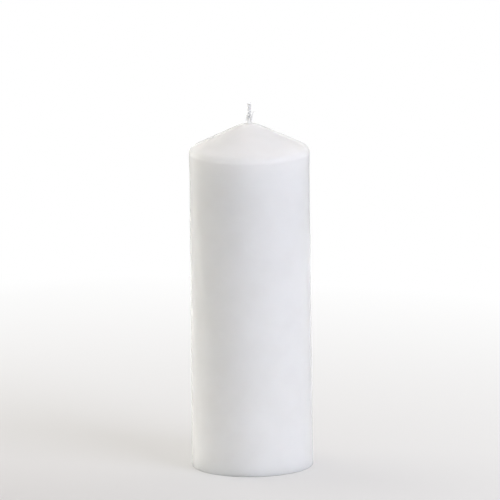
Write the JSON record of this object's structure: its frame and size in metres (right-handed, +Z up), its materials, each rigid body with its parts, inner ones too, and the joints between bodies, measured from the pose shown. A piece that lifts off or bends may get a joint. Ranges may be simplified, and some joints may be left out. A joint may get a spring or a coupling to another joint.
{
  "type": "unity candle",
  "caption": "Tall white wax pillar candle with a cone top, a rounded shoulder and a short plaited cotton wick, standing on its flat base.",
  "frame": {"origin": "middle of the flat base, on the surface that the candle stands on", "axes": "+Z up along the wick; +X to the side where the loose yarn stands out; +Y to the back"},
  "size_m": [0.077, 0.077, 0.2343],
  "materials": {
    "coat_wax": "hard white dipped wax, glossy, lets a little light in",
    "core_wax": "pressed white wax, dull and slightly grainy",
    "seal_wax": "poured white wax, smooth and slightly uneven",
    "wick_cotton": "plaited white cotton, waxed",
    "tinned_steel": "stamped tinned sheet, soft sheen"
  },
  "bodies": {
    "root": {"overdip_coat": "coat_wax", "wax_core": "core_wax", "wick_strand_1": "wick_cotton", "wick_strand_2": "wick_cotton", "wick_strand_3": "wick_cotton", "wick_loose_yarn": "wick_cotton", "wick_sustainer": "tinned_steel", "base_seal": "seal_wax"}
  },
  "joints": []
}
